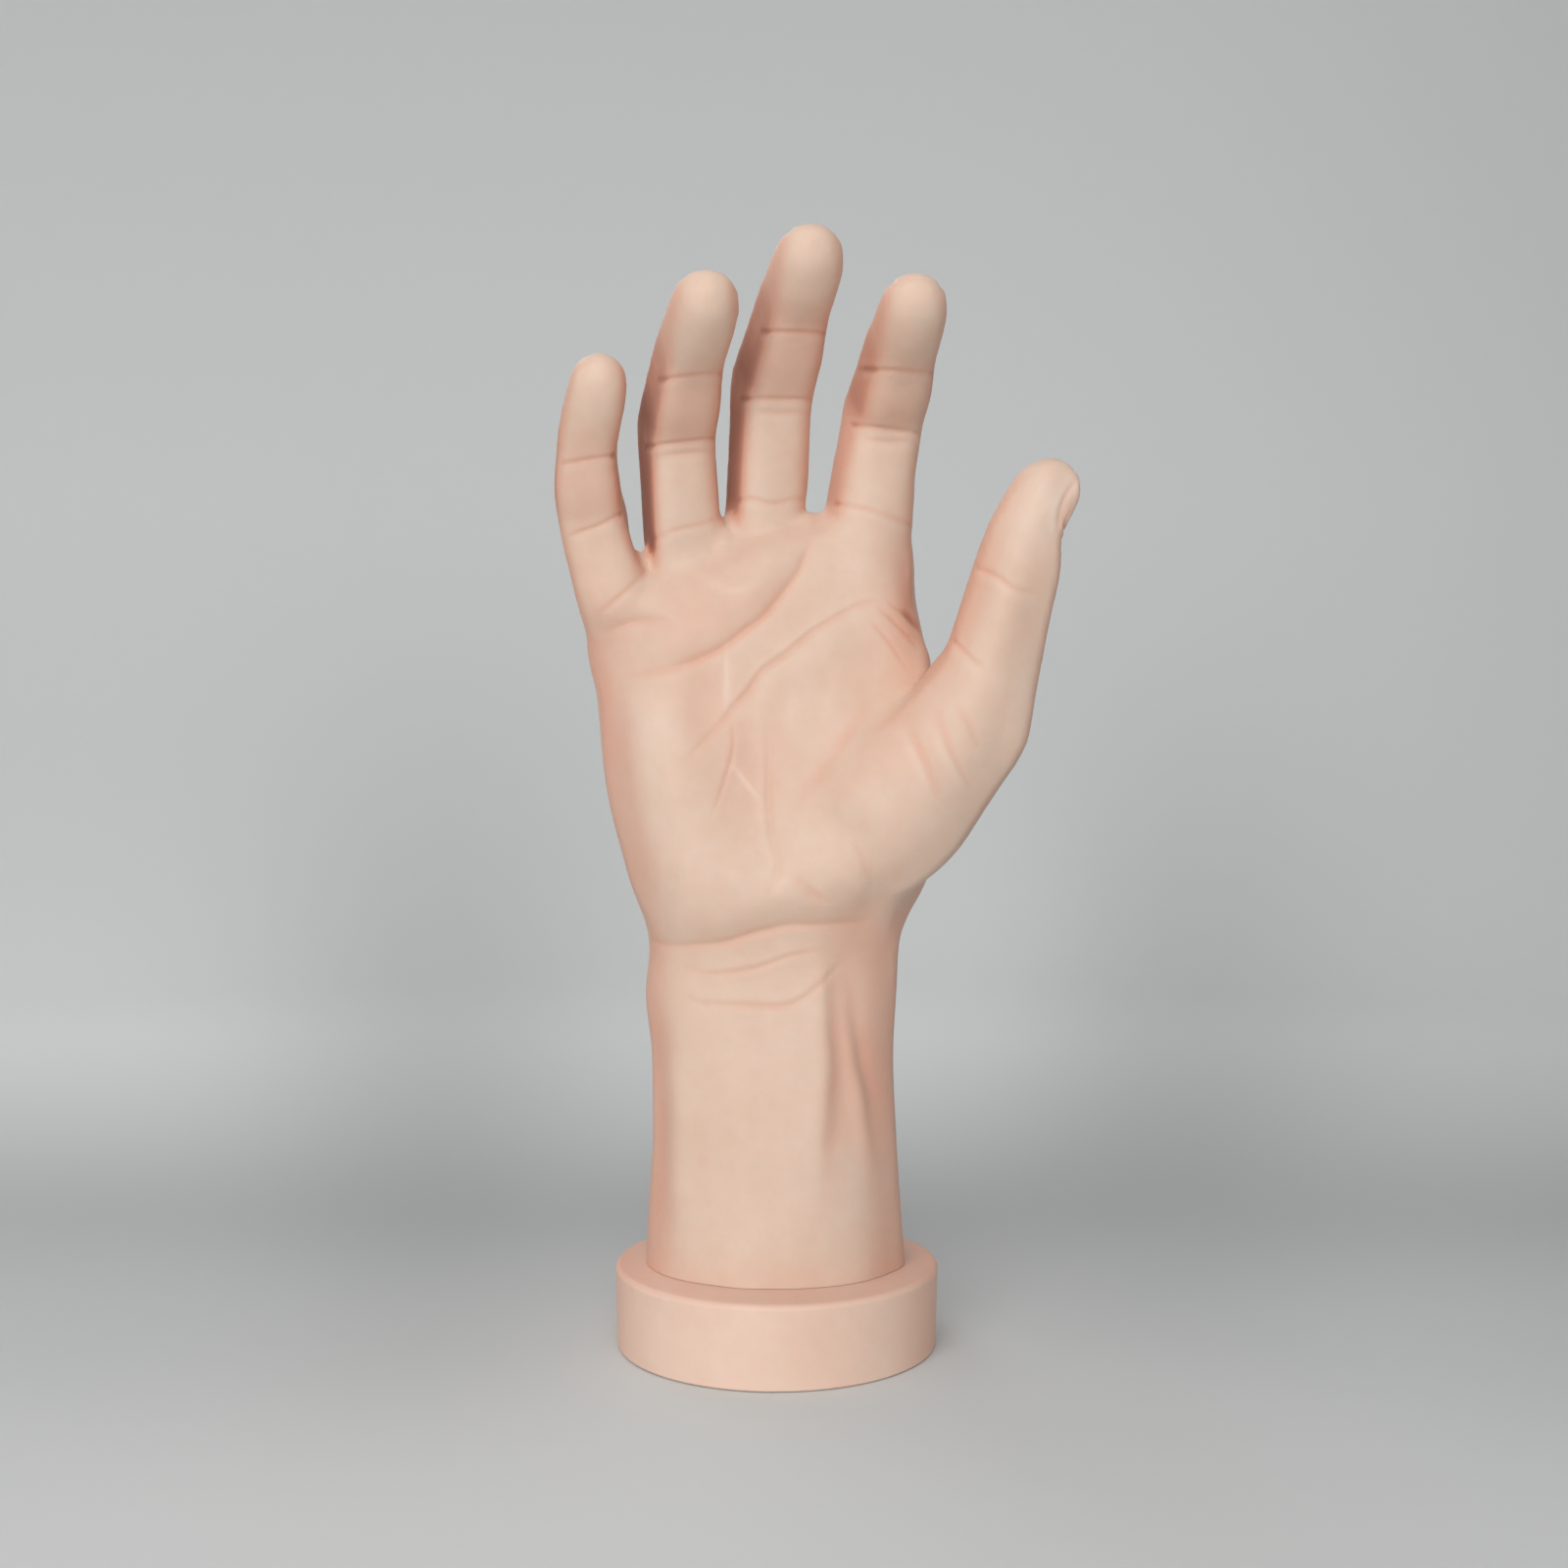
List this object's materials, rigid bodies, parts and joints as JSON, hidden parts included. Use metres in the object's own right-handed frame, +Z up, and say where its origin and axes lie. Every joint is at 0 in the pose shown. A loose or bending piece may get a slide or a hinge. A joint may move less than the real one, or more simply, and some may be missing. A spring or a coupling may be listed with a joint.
{
  "type": "display hand on a round base",
  "caption": "Moulded flesh-toned right hand and forearm with raised, gently curled fingers, lifting off and turning on a keyed spigot in a weighted round base.",
  "frame": {"origin": "floor level at the middle of the round base", "axes": "+Z up along the forearm, +X to the thumb side, -Y to the side that the palm faces"},
  "size_m": [0.1304, 0.1025, 0.2755],
  "materials": {
    "skin": "satin moulded vinyl",
    "base": "satin moulded vinyl",
    "plug": "plain moulded",
    "steel": "turned, bright zinc",
    "bush": "natural acetal",
    "washer": "matt",
    "ballast": "as cast",
    "cover": "fine grain",
    "pad": "matt foam"
  },
  "bodies": {
    "base": {"base_shell": "base", "pivot_bush": "bush", "friction_washer": "washer", "ballast_ring": "ballast", "base_cover": "cover", "cover_screws": "steel", "foot_pad": "pad"},
    "post": {"swivel_post": "steel", "retaining_washer": "steel", "retaining_screw": "steel"},
    "hand": {"hand_shell": "skin", "wrist_plug": "plug"}
  },
  "joints": [
    {"name": "hand_turn", "type": "hinge", "parent": "base", "child": "post", "pos_m": [0, 0, 0.012], "axis": [0, 0, 1], "continuous": true},
    {"name": "hand_lift", "type": "slide", "parent": "post", "child": "hand", "axis": [0, 0, 1], "range_m": [0, 0.04]}
  ]
}
